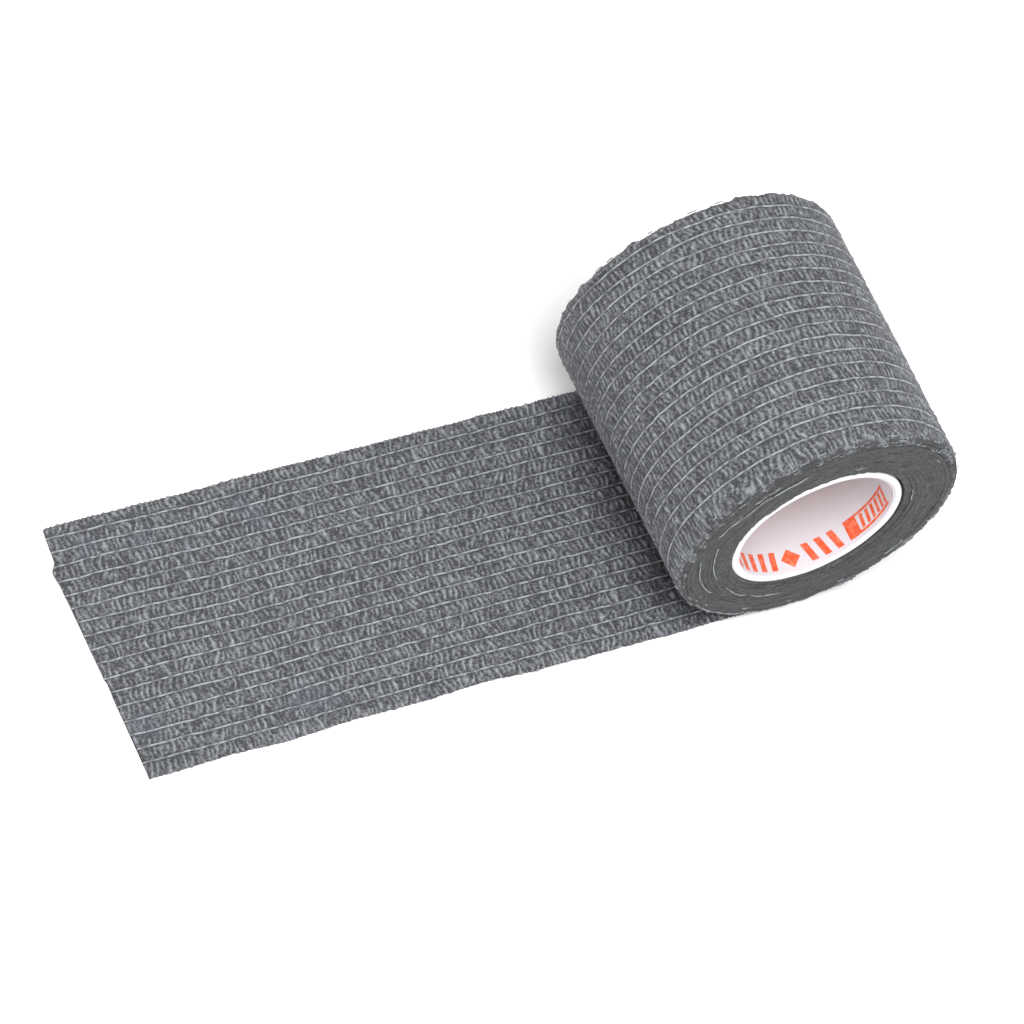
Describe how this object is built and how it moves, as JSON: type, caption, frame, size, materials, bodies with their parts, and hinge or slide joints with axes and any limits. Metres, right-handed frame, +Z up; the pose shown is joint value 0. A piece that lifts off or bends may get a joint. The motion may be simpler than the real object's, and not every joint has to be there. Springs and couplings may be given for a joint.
{
  "type": "grip tape roll",
  "caption": "Roll of elastic cohesive grip tape on a paper tube, with a length of the tape rolled out flat in front of it.",
  "frame": {"origin": "middle of the roll, on the axis of its tube; the floor is one roll radius below it", "axes": "+Z up, +Y along the tube towards the far end face, -X the way that the tape is rolled out"},
  "size_m": [0.1385, 0.05, 0.0495],
  "materials": {
    "tape_web": "crinkled grey nonwoven with a faint latex sheen",
    "elastic_thread": "pale elastic yarn, matt",
    "core_paper": "white, smooth board with a bright cut rim",
    "liner_paper": "white paper with orange printed bands"
  },
  "bodies": {
    "laid_tape": {"laid_lower_web": "tape_web", "laid_upper_web": "tape_web", "laid_thread_01": "elastic_thread", "laid_thread_02": "elastic_thread", "laid_thread_03": "elastic_thread", "laid_thread_04": "elastic_thread", "laid_thread_05": "elastic_thread", "laid_thread_06": "elastic_thread", "laid_thread_07": "elastic_thread", "laid_thread_08": "elastic_thread", "laid_thread_09": "elastic_thread", "laid_thread_10": "elastic_thread", "laid_thread_11": "elastic_thread", "laid_thread_12": "elastic_thread", "laid_thread_13": "elastic_thread", "laid_thread_14": "elastic_thread", "laid_thread_15": "elastic_thread", "laid_thread_16": "elastic_thread", "laid_thread_17": "elastic_thread"},
    "free_end": {"free_end_lower_web": "tape_web", "free_end_upper_web": "tape_web", "free_end_threads": "elastic_thread"},
    "peel_line": {"peel_lower_web": "tape_web", "peel_upper_web": "tape_web", "peel_threads": "elastic_thread"},
    "roll": {"core_tube": "core_paper", "core_liner": "liner_paper", "wound_tape": "tape_web", "roll_outer_web": "tape_web", "roll_inner_web": "tape_web", "roll_thread_01": "elastic_thread", "roll_thread_02": "elastic_thread", "roll_thread_03": "elastic_thread", "roll_thread_04": "elastic_thread", "roll_thread_05": "elastic_thread", "roll_thread_06": "elastic_thread", "roll_thread_07": "elastic_thread", "roll_thread_08": "elastic_thread", "roll_thread_09": "elastic_thread", "roll_thread_10": "elastic_thread", "roll_thread_11": "elastic_thread", "roll_thread_12": "elastic_thread", "roll_thread_13": "elastic_thread", "roll_thread_14": "elastic_thread", "roll_thread_15": "elastic_thread", "roll_thread_16": "elastic_thread", "roll_thread_17": "elastic_thread"}
  },
  "joints": [
    {"name": "end_lift", "type": "hinge", "parent": "laid_tape", "child": "free_end", "pos_m": [-0.0884, 0, -0.02455], "axis": [0, 1, 0], "range_deg": [0, 75]},
    {"name": "roll_travel", "type": "slide", "parent": "laid_tape", "child": "peel_line", "axis": [1, 0, 0], "range_m": [-0.025, 0.035], "deforming": ["peel_lower_web", "peel_upper_web", "peel_threads"]},
    {"name": "roll_spin", "type": "hinge", "parent": "peel_line", "child": "roll", "pos_m": [0, 0, 0], "axis": [0, 1, 0], "range_deg": [-57.1, 79.95]}
  ],
  "couplings": [
    {"joint": "roll_spin", "follows": "roll_travel", "rad_per_m": 39.841}
  ]
}
